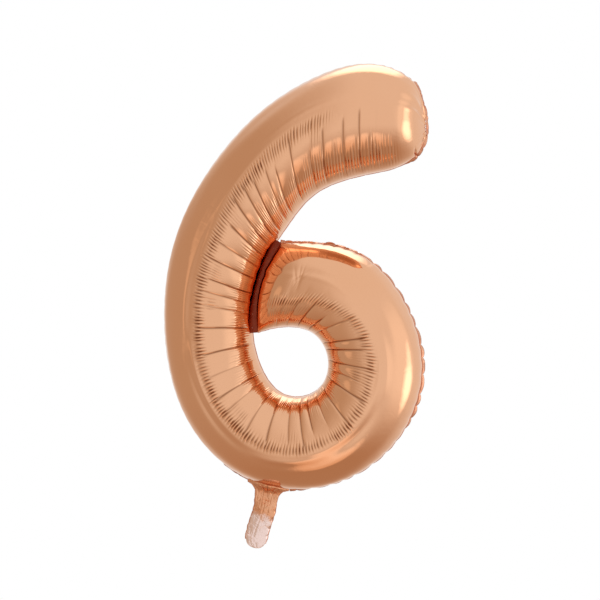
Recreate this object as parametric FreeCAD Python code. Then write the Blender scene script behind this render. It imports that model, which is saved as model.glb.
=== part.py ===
"""Foil number balloon, figure six, standing upright as it is when full of gas.

Row frame: +Z up, +X to the reader's right, the readable face looks along -Y.
Origin: the neck root, where the neck's centre line crosses the lower seam line.
Lengths are in millimetres.
"""
import FreeCAD, Part
import math
import os
from FreeCAD import Vector

# ---- overall size of the inflated figure -------------------------------------
FIGURE_WIDTH = 482.0        # widest point to widest point, seam line to seam line
FIGURE_HEIGHT = 770.0       # lowest to highest point of the seam line
DEPTH_TO_WIDTH = 0.95       # front-to-back depth of the tube / its own width
TIP_ROUND = 60.0            # length over which the top end closes like a pillow
BOWL_ROUND = 52.0           # the same, where the bowl meets the stem
CREASE_BOW = 17.0           # how far the bowl's end bows towards the stem
CREASE_REACH = 75.0         # length of bowl that takes up that bow

# ---- film and seals -----------------------------------------------------------
FILM = 0.6                  # foil film
SEAM_WIDTH = 6.0            # heat-sealed border round the figure
COUNTER_SEAM_WIDTH = 5.0    # heat-sealed border inside the counter
VALVE_FILM = 0.6            # clear valve film
INK = 0.4                   # release ink between the two valve films

# ---- neck and valve -----------------------------------------------------------
NECK_TILT = 12.0            # degrees, lower end towards -X
NECK_WIDTH = 40.0
NECK_LENGTH = 115.0         # neck root to closed end
NECK_END_ROUND = 20.0       # length over which the lower end rounds off
NECK_PUFF = 5.0             # how far each ply stands proud when it is handled
THROAT_WIDTH = 76.0         # width of the flare where it leaves the seam line
FLARE_LENGTH = 6.0          # how quickly the flare narrows
NECK_SEAL = 6.0             # heat-sealed border down each side of the neck
FOLD_DROP = 12.0            # fold line below the neck root
FOLD_GAP = 4.0              # room for the folded plies to turn
VALVE_WIDTH = 27.0
VALVE_END_GAP = 5.0         # valve film stops this far short of the neck's end
STUB_RISE = 10.0            # valve film held by the seam, above the neck root
LIP_LENGTH = 80.0           # free valve film inside the chamber
LIP_GAP = 0.5
INK_WIDTH = 22.0
INK_RISE = 6.0
INK_DROP = 8.0
FIT = 0.05                  # clearance of the valve in its passage

# ---- outline of the figure, top end to bowl end ------------------------------
# Each station is outer x, outer z, inner x, inner z on a sheet SHEET_WIDTH by
# SHEET_HEIGHT, with the neck root near 0, 0.
SHEET_WIDTH = 482.0
SHEET_HEIGHT = 770.0
STATIONS = [
    (288, 668, 288, 635),
    (280, 701, 281, 613),
    (261, 735, 256, 586),
    (207, 761, 198, 567),
    (98, 746, 98, 537),
    (-20, 675, 40, 479),
    (-125, 550, 0, 417),
    (-186, 392, -25, 341),
    (-189, 236, -28, 265),
    (-141, 105, -6, 200),
    (-38, 12, 29, 166),
    (113, 2, 74, 166),
    (229, 76, 103, 191),
    (281, 196, 110, 231),
    (258, 318, 93, 268),
    (182, 412, 57, 287),
    (73, 441, 5, 285),
    (23, 441, -20, 278),
]
ROW_STEP = 24.0             # spacing of sections along the tube
END_ROWS = 8                # closer sections where an end closes
END_EASE = 0.8              # how much closer together they get at the very end, 0 to 1
SECTION_POINTS = 17
SEAM_STEP = 6.0             # spacing of points along a seam's free edge

STACK = INK / 2 + VALVE_FILM            # half the valve's thickness
DOWN = Vector(-math.sin(math.radians(NECK_TILT)), 0, -math.cos(math.radians(NECK_TILT)))
ACROSS = Vector(math.cos(math.radians(NECK_TILT)), 0, -math.sin(math.radians(NECK_TILT)))
FRONT, BACK = -1, 1


def export(node, shape):
    """Check one sub-part and write it under its node name."""
    shape = shape.removeSplitter() if len(shape.Solids) == 1 else shape
    ok = shape.isValid() and all(s.isClosed() and s.Volume > 0 for s in shape.Solids)
    print(f"{node:20s} solids {len(shape.Solids)}  volume {shape.Volume:10.1f}  {'ok' if ok else 'BAD'}")
    if not ok:
        raise ValueError(node + " is not a closed solid")
    shape.exportStep(f"parts/{node}.step")


# ---- the outline as two curves with one shared parameter ---------------------
def outline_curves():
    """Outer and inner seam lines; both run 0..LENGTH along the tube's middle."""
    sx, sz = FIGURE_WIDTH / SHEET_WIDTH, FIGURE_HEIGHT / SHEET_HEIGHT
    outer = [Vector(a * sx, 0, b * sz) for a, b, c, d in STATIONS]
    inner = [Vector(c * sx, 0, d * sz) for a, b, c, d in STATIONS]
    middle = [(o + i) / 2 for o, i in zip(outer, inner)]
    along = [0.0]
    for a, b in zip(middle, middle[1:]):
        along.append(along[-1] + (b - a).Length)
    along = [max(s, k * 3.0) for k, s in enumerate(along)]
    curves = []
    for points in (outer, inner):
        curve = Part.BSplineCurve()
        curve.interpolate(Points=points, Parameters=along)
        curves.append(curve)
    return curves[0], curves[1], along[-1]


OUTER, INNER, LENGTH = outline_curves()


def neck_root_parameter():
    """Where the outer seam line crosses x = 0 at the bottom of the bowl."""
    steps = [LENGTH * k / 400 for k in range(401)]
    low = min(steps, key=lambda s: abs(OUTER.value(s).x) + abs(OUTER.value(s).z))
    a, b = low - 20, low + 20
    for _ in range(40):
        mid = (a + b) / 2
        a, b = (mid, b) if OUTER.value(mid).x < 0 else (a, mid)
    return a


ROOT_AT = neck_root_parameter()
ROOT_LIFT = Vector(0, 0, -OUTER.value(ROOT_AT).z)


def outer_point(s):
    return OUTER.value(s) + ROOT_LIFT


def inner_point(s):
    return INNER.value(s) + ROOT_LIFT


def normal(curve, s):
    """Unit normal of a seam line in the XZ plane, pointing out of the figure."""
    tangent = curve.tangent(s)[0]
    side = 1 if curve is OUTER else -1
    return Vector(side * tangent.z, 0, -side * tangent.x).normalize()


def close_down(s, reach):
    """Pillow end: 0 at the end row, 1 once the tube is full."""
    if s >= reach:
        return 1.0
    return math.sqrt(max(0.0, 1 - (1 - s / reach) ** 2))


def row_places():
    """Places of the sections, close together where the ends close."""
    parts = [k / END_ROWS for k in range(END_ROWS + 1)]
    eased = [END_EASE * (1 - math.cos(math.pi / 2 * p)) + (1 - END_EASE) * p for p in parts]
    tip = [TIP_ROUND * e for e in eased]
    bowl = [LENGTH - BOWL_ROUND * e for e in reversed(eased)]
    count = math.ceil((bowl[0] - tip[-1]) / ROW_STEP)
    gap = (bowl[0] - tip[-1]) / count
    return tip + [tip[-1] + gap * k for k in range(1, count)] + bowl


ROWS = row_places()


def tube_section(s, side, wall):
    """Points of one section from the outer to the inner seam line, inset by wall."""
    outer, inner = outer_point(s), inner_point(s)
    width = (outer - inner).Length
    start = outer - normal(OUTER, s) * wall
    end = inner - normal(INNER, s) * wall
    from_end = LENGTH - s
    toward_end = Vector(-(outer - inner).z, 0, (outer - inner).x) / width
    if toward_end.dot(OUTER.tangent(s)[0]) < 0:
        toward_end = toward_end * -1
    inset = toward_end * (wall * max(0.0, 1 - from_end / BOWL_ROUND))
    bow = toward_end * (CREASE_BOW * max(0.0, 1 - from_end / CREASE_REACH) ** 2)
    depth = (DEPTH_TO_WIDTH * width / 2 - wall) * close_down(s, TIP_ROUND)
    depth *= close_down(from_end, BOWL_ROUND)
    points = []
    for k in range(SECTION_POINTS):
        turn = math.pi * k / (SECTION_POINTS - 1)
        c, h = math.cos(turn), math.sin(turn)
        p = start * ((1 + c) / 2) + end * ((1 - c) / 2) - inset
        p += bow * (1 - c * c) + Vector(0, side * depth * (h if 0 < k < SECTION_POINTS - 1 else 0), 0)
        points.append(p)
    return points


def sew(faces):
    shell = Part.Shell(faces)
    shell.sewShape()
    solid = Part.Solid(shell)
    if solid.Volume < 0:
        solid.reverse()
    return solid


def mean_chords(lines):
    """One parameter per point: the running length, averaged over all the lines."""
    along = [0.0]
    for k in range(1, len(lines[0])):
        along.append(along[-1] + sum((p[k] - p[k - 1]).Length for p in lines) / len(lines))
    return along


def interpolated_poles(lines, parameters):
    """Interpolate each line of points; all the curves share their knots."""
    poles = []
    for points in lines:
        curve = Part.BSplineCurve()
        curve.interpolate(Points=points, Parameters=parameters)
        poles.append(curve.getPoles())
    return poles, curve.getKnots(), curve.getMultiplicities()


def skin_through(grid):
    """Cubic surface through a grid of points, row by row."""
    columns = [list(column) for column in zip(*grid)]
    by_column, u_knots, u_mults = interpolated_poles(columns, mean_chords(columns))
    rows = [list(row) for row in zip(*by_column)]
    poles, v_knots, v_mults = interpolated_poles(rows, mean_chords(grid))
    surface = Part.BSplineSurface()
    surface.buildFromPolesMultsKnots(poles, u_mults, v_mults, u_knots, v_knots, False, False, 3, 3)
    return surface


def film_shell(side):
    """One cut sheet of foil, puffed out: an open half tube with a flat rim."""
    skins = []
    for wall in (0.0, FILM):
        skins.append(skin_through([tube_section(s, side, wall) for s in ROWS]))
    faces = [skin.toShape() for skin in skins]
    rim = Part.makeFace([face.OuterWire for face in faces], "Part::FaceMakerBullseye")
    return sew(faces + rim.Faces), border_curves(skins[0])


def border_curves(surface):
    """Outer side, inner side, top end and bowl end of a film surface."""
    u0, u1, v0, v1 = surface.bounds()
    return [surface.vIso(v0), surface.vIso(v1), surface.uIso(u0), surface.uIso(u1)]


def on_border(curve, point):
    """The border's own point nearest to the given one."""
    return curve.value(curve.parameter(point))


def stretch(curve, a, b):
    """The edge of a border curve between two of its points."""
    first, last = sorted((curve.parameter(a), curve.parameter(b)))
    return curve.toShape(first, last)


def smooth_edge(points):
    curve = Part.BSplineCurve()
    curve.interpolate(points)
    return curve.toShape()


def line(a, b):
    return Part.makeLine(a, b)


def plate(edges, low_y, high_y):
    """A flat piece in the XZ plane, from low_y to high_y."""
    face = Part.Face(Part.Wire(Part.__sortEdges__(edges)))
    face.translate(Vector(0, low_y, 0))
    solid = face.extrude(Vector(0, high_y - low_y, 0))
    if solid.Volume < 0:
        solid.reverse()
    return solid


# ---- seams --------------------------------------------------------------------
def places_between(a, b):
    count = max(4, math.ceil(abs(b - a) / SEAM_STEP))
    return [a + (b - a) * k / count for k in range(count + 1)]


def crossing(curve_point, test, a, b):
    """Bisect for the place where test(point) changes sign."""
    sign = test(curve_point(a)) > 0
    for _ in range(50):
        mid = (a + b) / 2
        if (test(curve_point(mid)) > 0) == sign:
            a = mid
        else:
            b = mid
    return (a + b) / 2


def nearest_place(curve_point, target, a, b):
    steps = [a + (b - a) * k / 2000 for k in range(2001)]
    return min(steps, key=lambda s: (curve_point(s) - target).Length)


def offset_points(curve, places, width):
    return [curve.value(s) + ROOT_LIFT + normal(curve, s) * width for s in places]


def neck_side(distance, drop):
    """Point beside the neck's centre line, in the seam plane."""
    return ACROSS * distance + DOWN * drop


def flare_half_width(drop):
    extra = (THROAT_WIDTH - NECK_WIDTH) / 2
    return NECK_WIDTH / 2 + extra * math.exp(-max(drop, 0.0) / FLARE_LENGTH)


def beside_neck(p, side):
    """Positive when an outline point lies outside the flare on that side."""
    return side * p.dot(ACROSS) - THROAT_WIDTH / 2


front_film, front_borders = film_shell(FRONT)
back_film, _ = film_shell(BACK)
side_outer, side_inner, end_tip, end_bowl = front_borders

# Places where the seams start and stop.
BOWL_TOP = outer_point(LENGTH)
BOWL_FOOT = inner_point(LENGTH)
CREASE_TOP = nearest_place(inner_point, BOWL_TOP, 0.15 * LENGTH, 0.5 * LENGTH)
CREASE_FOOT = nearest_place(inner_point, BOWL_FOOT, CREASE_TOP, 0.6 * LENGTH)
FLARE_LEFT = crossing(outer_point, lambda p: beside_neck(p, -1), ROOT_AT, ROOT_AT - 90)
FLARE_RIGHT = crossing(outer_point, lambda p: beside_neck(p, 1), ROOT_AT, ROOT_AT + 90)


def border_strip(inside, outside):
    """A seam strip between two lines of points, which starts just clear of the film's rim."""
    return plate([smooth_edge(inside), smooth_edge(outside), line(inside[0], outside[0]),
                  line(inside[-1], outside[-1])], -FILM, FILM)


def stem_side(width):
    """Points width outside the stem's rim: from the crease, round the top end and down to the neck."""
    tip = (outer_point(0) + inner_point(0)) / 2 + Vector(width, 0, 0)
    return (offset_points(INNER, places_between(CREASE_TOP, 0), width) + [tip]
            + offset_points(OUTER, places_between(0, FLARE_LEFT), width))


def outer_seam():
    return border_strip(stem_side(FIT), stem_side(SEAM_WIDTH))


def bowl_seam():
    """From the neck round the bowl to the top of the crease."""
    places = places_between(FLARE_RIGHT, LENGTH)
    return border_strip(offset_points(OUTER, places, FIT), offset_points(OUTER, places, SEAM_WIDTH))


def crease_seam():
    """Where the bowl's end is sealed against the stem."""
    a = on_border(side_inner, inner_point(CREASE_TOP))
    b = on_border(side_inner, inner_point(CREASE_FOOT))
    edges = [stretch(side_inner, a, b), end_bowl.toShape(), line(a, BOWL_TOP), line(b, BOWL_FOOT)]
    return plate(edges, -FILM, FILM)


def counter_seam():
    """Border inside the counter, with the hole punched through it."""
    a, b = on_border(side_inner, inner_point(CREASE_FOOT)), BOWL_FOOT
    places = places_between(CREASE_FOOT, LENGTH)
    rim = [inner_point(s) for s in places]
    hole = [p for p in offset_points(INNER, places, COUNTER_SEAM_WIDTH)
            if min((p - q).Length for q in rim) > COUNTER_SEAM_WIDTH - FIT]
    opening = Part.Wire([smooth_edge(hole), line(hole[-1], hole[0])])
    border = Part.Wire([stretch(side_inner, a, b), line(b, a)])
    face = Part.makeFace([border, opening], "Part::FaceMakerBullseye").Faces[0]
    face.translate(Vector(0, -FILM, 0))
    return face.extrude(Vector(0, 2 * FILM, 0))


# ---- throat: the flare between the seam line and the fold line ----------------
THROAT_FOOT = FOLD_DROP - FOLD_GAP / 2


def flare_edge(side, first, last):
    drops = [first + (last - first) * k / 6 for k in range(7)]
    return [neck_side(side * flare_half_width(d), d) for d in drops]


def throat_half(side, inner_edge):
    """Border of the flare from inner_edge (0 for the middle) out to one side."""
    start = FLARE_LEFT if side < 0 else FLARE_RIGHT
    split = ROOT_AT
    if inner_edge:
        split = crossing(outer_point, lambda p: side * p.dot(ACROSS) - inner_edge, ROOT_AT, start)
    root, corner = [on_border(side_outer, outer_point(s)) for s in (split, start)]
    down_side = flare_edge(side, corner.dot(DOWN), THROAT_FOOT)
    down_side[0] = corner
    low = neck_side(side * inner_edge, THROAT_FOOT)
    return [stretch(side_outer, root, corner), smooth_edge(down_side),
            line(down_side[-1], low), line(low, root)]


def throat_ply(side):
    near, far = side * STACK, side * (STACK + FILM)
    left = plate(throat_half(-1, 0), min(near, far), max(near, far))
    right = plate(throat_half(1, 0), min(near, far), max(near, far))
    return left.fuse(right).removeSplitter()


def throat_seal(side):
    return plate(throat_half(side, VALVE_WIDTH / 2 + FIT), -STACK, STACK)


def passage_cut():
    """Slot through both film rims, where the valve enters the chamber."""
    half, reach = VALVE_WIDTH / 2 + FIT, 4 * FILM
    return neck_box(half, -reach, reach, -STACK - FIT, STACK + FIT)


def neck_box(half, top, bottom, low_y, high_y):
    """Box about the neck's centre line, between two drops below the root."""
    corners = [neck_side(-half, top), neck_side(half, top), neck_side(half, bottom), neck_side(-half, bottom)]
    edges = [line(p, q) for p, q in zip(corners, corners[1:] + corners[:1])]
    return plate(edges, low_y, high_y)


def valve_ply(side, top, bottom):
    near, far = side * INK / 2, side * STACK
    return neck_box(VALVE_WIDTH / 2, top, bottom, min(near, far), max(near, far))


# ---- neck: the loose tail below the fold line ---------------------------------
NECK_TOP = FOLD_DROP + FOLD_GAP / 2
END_FLAT = 2.0              # half width of the straight part left at the rounded end


def neck_half_width(drop):
    """Flared at the top, straight, then rounded at the lower end."""
    into_end = drop - (NECK_LENGTH - NECK_END_ROUND)
    if into_end <= 0:
        return flare_half_width(drop)
    rounded = math.sqrt(max(0.0, 1 - (into_end / NECK_END_ROUND) ** 2))
    return END_FLAT + (flare_half_width(drop) - END_FLAT) * rounded


def neck_rows():
    straight_end = NECK_LENGTH - NECK_END_ROUND
    top = [NECK_TOP + (straight_end - NECK_TOP) * (k / 12) for k in range(12)]
    end = [straight_end + NECK_END_ROUND * math.sin(math.pi / 2 * k / 8) for k in range(9)]
    return top + end


def neck_ply(side):
    """One ply of the neck: flat at the fold line, then puffed."""
    grid = []
    for drop in neck_rows():
        half = neck_half_width(drop)
        fullness = min(1.0, (drop - NECK_TOP) / 30) * close_down(NECK_LENGTH - drop, NECK_END_ROUND)
        row = []
        for k in range(9):
            c = -math.cos(math.pi * k / 8)
            y = side * (STACK + NECK_PUFF * fullness * (1 - c * c))
            row.append(neck_side(half * c, drop) + Vector(0, y, 0))
        grid.append(row)
    solid = skin_through(grid).toShape().extrude(Vector(0, side * FILM, 0))
    if solid.Volume < 0:
        solid.reverse()
    return solid


def neck_seal(side):
    """Sealed border down one side of the neck, clear of the valve; the mouth stays open."""
    free = VALVE_WIDTH / 2 + FIT
    rows = [d for d in neck_rows() if neck_half_width(d) > free + FILM]
    outside = [neck_side(side * neck_half_width(d), d) for d in rows]
    inside = [neck_side(side * max(free, neck_half_width(d) - NECK_SEAL), d) for d in rows]
    edges = [smooth_edge(outside), line(outside[0], inside[0]),
             smooth_edge(inside), line(inside[-1], outside[-1])]
    return plate(edges, -STACK, STACK)


def build():
    os.makedirs("parts", exist_ok=True)
    slot = passage_cut()
    export("front_panel", front_film.cut(slot))
    export("back_panel", back_film.cut(slot))
    export("outer_seam", outer_seam())
    export("bowl_seam", bowl_seam())
    export("crease_seam", crease_seam())
    export("counter_seam", counter_seam())
    export("throat_front", throat_ply(FRONT))
    export("throat_back", throat_ply(BACK))
    export("throat_seal_left", throat_seal(-1))
    export("throat_seal_right", throat_seal(1))
    lip_root = -STUB_RISE - LIP_GAP
    for name, side in (("front", FRONT), ("back", BACK)):
        export("valve_stub_" + name, valve_ply(side, -STUB_RISE, THROAT_FOOT))
        export("valve_lip_" + name, valve_ply(side, lip_root - LIP_LENGTH, lip_root))
        export("valve_tail_" + name, valve_ply(side, NECK_TOP, NECK_LENGTH - VALVE_END_GAP))
        export("neck_" + name, neck_ply(side))
    export("release_ink", neck_box(INK_WIDTH / 2, -INK_RISE, INK_DROP, -INK / 2, INK / 2))
    export("neck_seal_left", neck_seal(-1))
    export("neck_seal_right", neck_seal(1))


build()
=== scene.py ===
# %% [markdown]
# # A foil number balloon, figure six
# The CAD model is the frame: it says where the film, the seams, the neck and its valve are. Here every
# visible piece is made again as thin metallised film, with the gathers, creases and puckers that make a foil
# balloon look like one. First the imported model is loaded; the box of its front panel later sets the size of
# the seam lines.

# %% Load the frame
import math
import bpy
import bmesh
import numpy as np
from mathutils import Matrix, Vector


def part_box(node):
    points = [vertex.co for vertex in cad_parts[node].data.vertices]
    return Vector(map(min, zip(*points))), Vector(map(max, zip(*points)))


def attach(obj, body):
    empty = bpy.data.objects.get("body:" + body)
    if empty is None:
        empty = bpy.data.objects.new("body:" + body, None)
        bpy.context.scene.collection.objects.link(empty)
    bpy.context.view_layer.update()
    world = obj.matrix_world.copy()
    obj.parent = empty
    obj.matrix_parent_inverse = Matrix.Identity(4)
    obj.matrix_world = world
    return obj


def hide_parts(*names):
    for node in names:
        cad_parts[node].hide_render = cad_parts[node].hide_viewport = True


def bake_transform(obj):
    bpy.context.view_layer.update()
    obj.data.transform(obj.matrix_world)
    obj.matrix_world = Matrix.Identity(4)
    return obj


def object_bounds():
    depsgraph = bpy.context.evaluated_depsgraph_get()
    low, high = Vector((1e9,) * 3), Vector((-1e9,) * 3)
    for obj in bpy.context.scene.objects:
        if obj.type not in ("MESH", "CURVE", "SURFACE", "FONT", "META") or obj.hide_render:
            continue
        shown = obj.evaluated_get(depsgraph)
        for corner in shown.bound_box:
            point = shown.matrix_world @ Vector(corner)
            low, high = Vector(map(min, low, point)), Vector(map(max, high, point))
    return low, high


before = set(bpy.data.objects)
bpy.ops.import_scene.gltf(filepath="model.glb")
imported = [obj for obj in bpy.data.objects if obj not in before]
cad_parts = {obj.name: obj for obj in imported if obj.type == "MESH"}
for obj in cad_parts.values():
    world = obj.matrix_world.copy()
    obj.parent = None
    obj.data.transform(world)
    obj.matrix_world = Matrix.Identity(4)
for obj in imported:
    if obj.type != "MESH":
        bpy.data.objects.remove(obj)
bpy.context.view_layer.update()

# %% [markdown]
# ## The tube that the figure is drawn with
# A number balloon is a flat tube bent into a figure. Its two seam lines, outer and inner, are smooth curves
# through a few stations, the same ones as in the CAD model, in metres. The stations are stretched to the CAD
# panel's own box, so the looks always follow the frame.

# %% Seam lines
STATIONS = np.array([
    (288, 668, 288, 635), (280, 701, 281, 613), (261, 735, 256, 586), (207, 761, 198, 567),
    (98, 746, 98, 537), (-20, 675, 40, 479), (-125, 550, 0, 417), (-186, 392, -25, 341),
    (-189, 236, -28, 265), (-141, 105, -6, 200), (-38, 12, 29, 166), (113, 2, 74, 166),
    (229, 76, 103, 191), (281, 196, 110, 231), (258, 318, 93, 268), (182, 412, 57, 287),
    (73, 441, 5, 285), (23, 441, -20, 278),
]) / 1000.0
TIP_ROUND = 0.044           # length over which the top end closes like a pillow
BOWL_ROUND = 0.052          # the same, where the bowl meets the stem
CREASE_BOW = 0.017          # how far the bowl's end bows towards the stem
CREASE_REACH = 0.075        # length of bowl that takes up that bow
BOWL_FLAT = 0.17            # the bowl is this much flatter at its end
BOWL_FLAT_REACH = 0.20      # length over which it flattens
DEPTH_TO_WIDTH = 0.95       # the tube's depth as a share of its width
LEAST_STEP = 0.003          # least distance between two stations


def spline_through(places, points, wanted):
    """Natural cubic spline through points at places, read at the wanted places."""
    count = len(places)
    gap = np.diff(places)
    slopes = np.diff(points, axis=0) / gap[:, None]
    system = np.eye(count)
    right = np.zeros_like(points)
    for k in range(1, count - 1):
        system[k, k - 1:k + 2] = gap[k - 1], 2 * (gap[k - 1] + gap[k]), gap[k]
        right[k] = 6 * (slopes[k] - slopes[k - 1])
    bend = np.linalg.solve(system, right)
    k = np.clip(np.searchsorted(places, wanted, side="right") - 1, 0, count - 2)
    h = gap[k][:, None]
    a = (places[k + 1] - wanted)[:, None] / h
    b = 1 - a
    curve = a * points[k] + b * points[k + 1]
    return curve + ((a ** 3 - a) * bend[k] + (b ** 3 - b) * bend[k + 1]) * h ** 2 / 6


def station_places():
    """Distance of each station along the tube's middle."""
    middle = (STATIONS[:, :2] + STATIONS[:, 2:]) / 2
    steps = np.linalg.norm(np.diff(middle, axis=0), axis=1)
    return np.maximum(np.concatenate([[0], np.cumsum(steps)]), np.arange(len(middle)) * LEAST_STEP)


PLACES = station_places()
TUBE_LENGTH = PLACES[-1]


def seam_lines(s):
    """Outer and inner seam lines at s, fitted to the CAD panel's box."""
    both = spline_through(PLACES, STATIONS, s)
    fine = spline_through(PLACES, STATIONS, np.linspace(0, TUBE_LENGTH, 2000))
    xs, zs = fine[:, [0, 2]], fine[:, [1, 3]]
    low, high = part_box("front_panel")
    sx = (high[0] - low[0]) / (xs.max() - xs.min())
    sz = (high[2] - low[2]) / (zs.max() - zs.min())
    both[:, [0, 2]] = low[0] + (both[:, [0, 2]] - xs.min()) * sx
    both[:, [1, 3]] = low[2] + (both[:, [1, 3]] - zs.min()) * sz
    return both[:, :2], both[:, 2:]


def closing(s, reach):
    """0 at an end of the tube, 1 once it is full: a quarter circle."""
    part = np.clip(s / reach, 0, 1)
    return np.sqrt(np.maximum(0, 1 - (1 - part) ** 2))


def smooth(low, high, x):
    """Smooth step from 0 at low to 1 at high."""
    t = np.clip((x - low) / (high - low), 0, 1)
    return t * t * (3 - 2 * t)


def unit(v):
    """Vectors brought to length 1."""
    return v / np.maximum(np.linalg.norm(v, axis=-1, keepdims=True), 1e-12)


print("tube length along its middle:", round(float(TUBE_LENGTH), 3), "m")

# %% [markdown]
# ## Sections of the tube
# Each section is half an ellipse from the outer seam line (turn 0) to the inner one (turn 1). The rows are
# spread evenly along the crest, because the gathers there are the finest detail on the balloon.

# %% Rows and sections
ROWS = 1900
COLUMNS = 51


def tube_shape(s):
    """Per row: outer point, inner point, half depth and the bow of the bowl's end."""
    outer, inner = seam_lines(s)
    width = np.linalg.norm(outer - inner, axis=1)
    depth = DEPTH_TO_WIDTH * width / 2 * closing(s, TIP_ROUND) * closing(TUBE_LENGTH - s, BOWL_ROUND)
    depth *= 1 - BOWL_FLAT * (1 - smooth(0, BOWL_FLAT_REACH, TUBE_LENGTH - s))
    across = (outer - inner) / width[:, None]
    forward = np.stack([-across[:, 1], across[:, 0]], axis=1)
    forward *= np.sign(np.median(np.sum(forward * np.gradient(outer, axis=0), axis=1)))
    bow = CREASE_BOW * np.clip(1 - (TUBE_LENGTH - s) / CREASE_REACH, 0, 1) ** 2
    return outer, inner, depth, forward * bow[:, None]


def even_rows(count):
    """Places of rows that are evenly spaced along the crest."""
    s = TUBE_LENGTH * (1 - np.cos(np.linspace(0, math.pi, 4001))) / 2
    outer, inner, depth, bow = tube_shape(s)
    crest = np.column_stack([(outer + inner) / 2 + bow, depth])
    arc = np.concatenate([[0], np.cumsum(np.linalg.norm(np.diff(crest, axis=0), axis=1))])
    wanted = np.linspace(0, arc[-1], count + 1)
    return np.interp(wanted, arc, s), wanted


def film_surface(s, turns, side):
    """Smooth film: an array of rows by columns of points. side is -1 in front, 1 behind."""
    outer, inner, depth, bow = tube_shape(s)
    c = np.cos(math.pi * turns)[None, :, None]
    h = np.sin(math.pi * turns)[None, :]
    flat = outer[:, None] * (1 + c) / 2 + inner[:, None] * (1 - c) / 2 + bow[:, None] * (1 - c * c)
    return np.stack([flat[..., 0], side * depth[:, None] * h, flat[..., 1]], axis=-1)


def outward(points, side):
    """Unit normals of a surface given as rows by columns of points."""
    along = np.gradient(points, axis=0)
    across = np.gradient(points, axis=1)
    normal = unit(np.cross(along, across))
    return normal * (1 if np.median(normal[..., 1] * side) > 0 else -1)


PLACE, CREST = even_rows(ROWS)


def crowded_turns(count):
    """Columns from seam to seam, closer together just outside the crest and at both seams."""
    fine = np.linspace(0, 1, 2001)
    density = 1 + 1.6 * np.exp(-((fine - 0.405) / 0.06) ** 2)
    density += 1.2 * np.exp(-fine / 0.05) + 0.8 * np.exp(-(1 - fine) / 0.05)
    total = np.concatenate([[0], np.cumsum((density[1:] + density[:-1]) / 2)])
    return np.interp(np.linspace(0, total[-1], count + 1), total, fine)


TURN = crowded_turns(COLUMNS)
CREST_LENGTH = CREST[-1]
print("crest length:", round(float(CREST_LENGTH), 3), "m; rows", ROWS, "columns", COLUMNS)

# %% [markdown]
# ## Gathers, creases and puckers
# Flat film can't follow a bent tube. Inside the bend there is too much of it, so between the crest and the
# inner seam it gathers into fine pleats, which end in a line of short tucks just outside the crest, and a
# sharp crease runs inwards every few pleats. Outside the crest the film is pulled smooth, and only its seam
# puckers. Real cloth simulation at this pleat size would need far too many points, so the pleats are worked
# out: each is a cusp that is narrow in its valley and round on its ridge.

# %% Random tools
def wobble(rng, x, pitch, size):
    """Smooth random curve over x, with one knot every pitch."""
    knots = np.arange(np.min(x) - 2 * pitch, np.max(x) + 3 * pitch, pitch)
    values = rng.normal(0, size, len(knots))
    return spline_through(knots, values[:, None], np.ravel(x))[:, 0].reshape(np.shape(x))


def uneven_marks(rng, start, end, low, high):
    """Places from start to end, each a random step between low and high after the last."""
    marks = [start]
    while marks[-1] < end:
        marks.append(marks[-1] + rng.uniform(low, high))
    return np.array(marks)


def cusp(x, sharp):
    """0 in the valley at each whole x, 1 on the ridge between."""
    return np.abs(np.sin(math.pi * x)) ** sharp


def folds(marks, x):
    """Which fold each x is in, and how far through it."""
    index = np.clip(np.searchsorted(marks, x, side="right") - 1, 0, len(marks) - 2)
    return index, (x - marks[index]) / (marks[index + 1] - marks[index])


# %% Sizes of the folds, in metres
TUCK_TURN = 0.478           # turn at which the short tucks sit
TUCK_SHIFT = 0.16           # how much further in they sit at the bowl's end
TUCK_HALF = 0.026           # half their length, in turns
TUCK_DEPTH = 0.0040
SECOND_ROW = 0.085          # in some facets a second row of tucks, this much further in
PLEAT_PITCH = (0.0046, 0.0070)
PLEAT_DEPTH = 0.0013
PLEAT_TURN = 0.655          # turn at which the pleats start
HOOK_PLEAT_SHIFT = 0.06     # under the figure's hook they start this much further out
CREASE_PITCH = (0.024, 0.044)
CREASE_DEPTH = 0.0016
CREASE_HALF_WIDTH = 0.0011
BELLY = 0.0017              # how far the film bulges between two creases
PUCKER_PITCH = (0.014, 0.026)
PUCKER_DEPTH = 0.0024
PUCKER_REACH = 0.040        # how far puckers run in from the outer seam, in turns
INNER_PUCKER = 0.04         # depth of the inner seam's puckers, as a share of the outer ones
INNER_PUCKER_REACH = 0.030
# waves outside the tucks: turn, height and half width in turns
SLOW_WAVES = ((0.10, 0.0009, 0.05), (0.20, 0.0012, 0.05), (0.30, 0.0011, 0.04),
              (0.385, 0.0016, 0.026), (0.425, 0.0010, 0.018))
WAVE_PITCH = 0.085
# no folds nearer than this to the top end, or to the bowl's end, and the length over which they set in
TUCK_ENDS = (0.20, 0.045, 0.07)
PLEAT_ENDS = (0.075, 0.06, 0.06)
CREASE_ENDS = (0.12, 0.06, 0.07)

OUTER_PUCKERS = uneven_marks(np.random.default_rng(11), 0, CREST_LENGTH, *PUCKER_PITCH)
CREASES = uneven_marks(np.random.default_rng(12), 0, CREST_LENGTH, *CREASE_PITCH)


def fold_phase(marks, crest):
    """Counts folds along the tube: whole numbers at the valleys."""
    fold, through = folds(marks, crest)
    return fold + through


def between_ends(crest, start, end, fade):
    """1 along the tube, 0 nearer than start to the top end or than end to the bowl's end."""
    return (smooth(start, start + fade, crest) * smooth(end, end + fade, CREST_LENGTH - crest))[:, None]
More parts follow.
